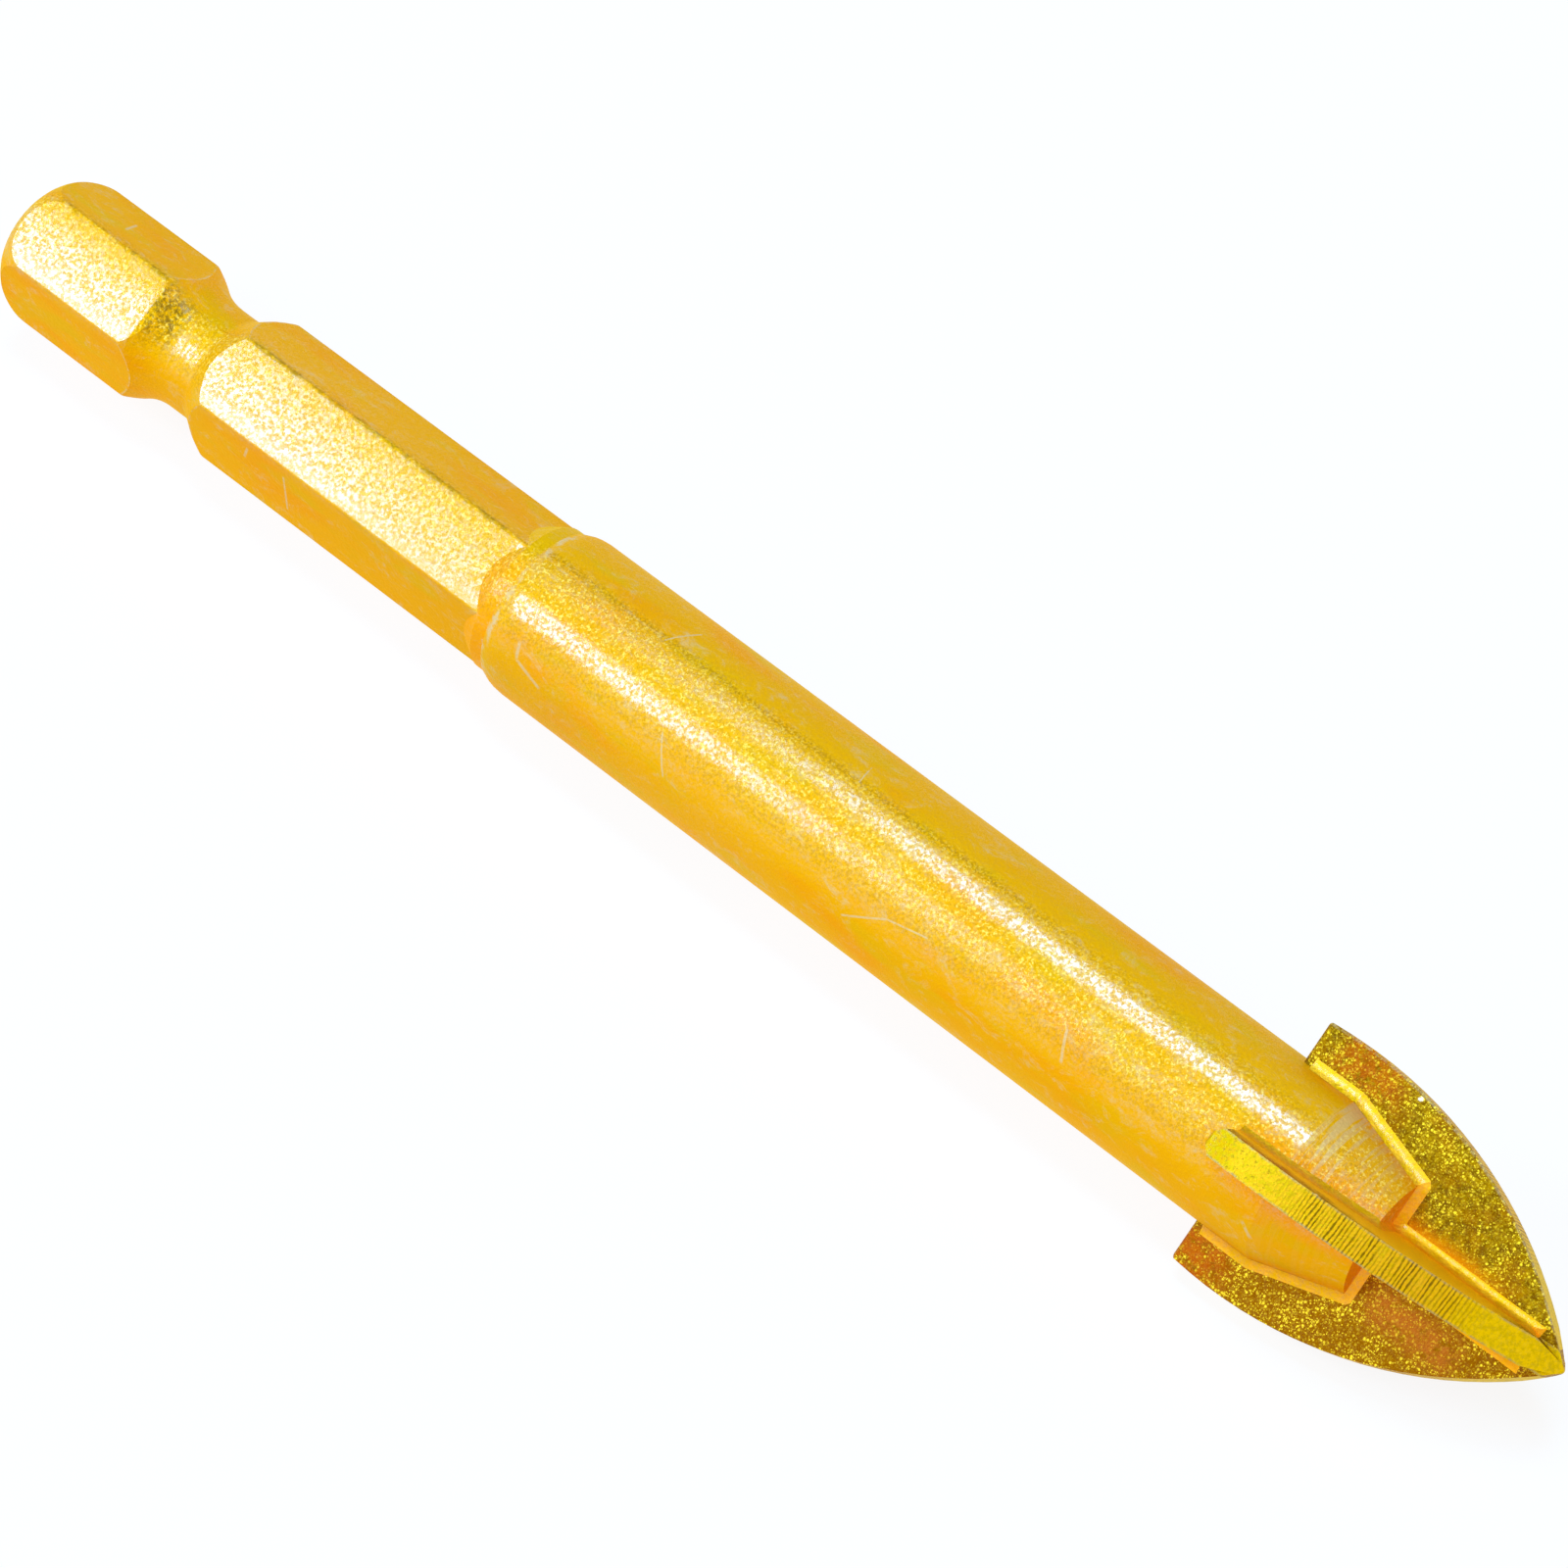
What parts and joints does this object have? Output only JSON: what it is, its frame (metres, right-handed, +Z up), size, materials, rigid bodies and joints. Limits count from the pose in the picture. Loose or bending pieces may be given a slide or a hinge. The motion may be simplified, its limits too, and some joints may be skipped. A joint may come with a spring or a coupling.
{
  "type": "glass and tile drill bit",
  "caption": "Gold-coloured drill bit with a hexagon shank, a detent groove, a round body and a cross of ground carbide plates brazed in its end, for glass and tile.",
  "frame": {"origin": "on the ground, under the middle of the bit's length, with the bit lying on two of its four wings", "axes": "+X along the bit's axis, from the shank to the point; +Z up; the spear plate lies at 45 degrees between -Y and +Z"},
  "size_m": [0.087, 0.0094, 0.0095],
  "materials": {
    "gold_steel": "fine blasted steel under a thin gold coating, worn grey on its edges",
    "gold_carbide": "grainy sintered carbide, ground on its cutting edges, under a thin gold coating",
    "braze": "smooth solidified brazing metal under a thin gold coating"
  },
  "bodies": {
    "root": {"shank": "gold_steel", "spear_plate": "gold_carbide", "upper_wing_plate": "gold_carbide", "lower_wing_plate": "gold_carbide", "braze_beads": "braze"}
  },
  "joints": []
}
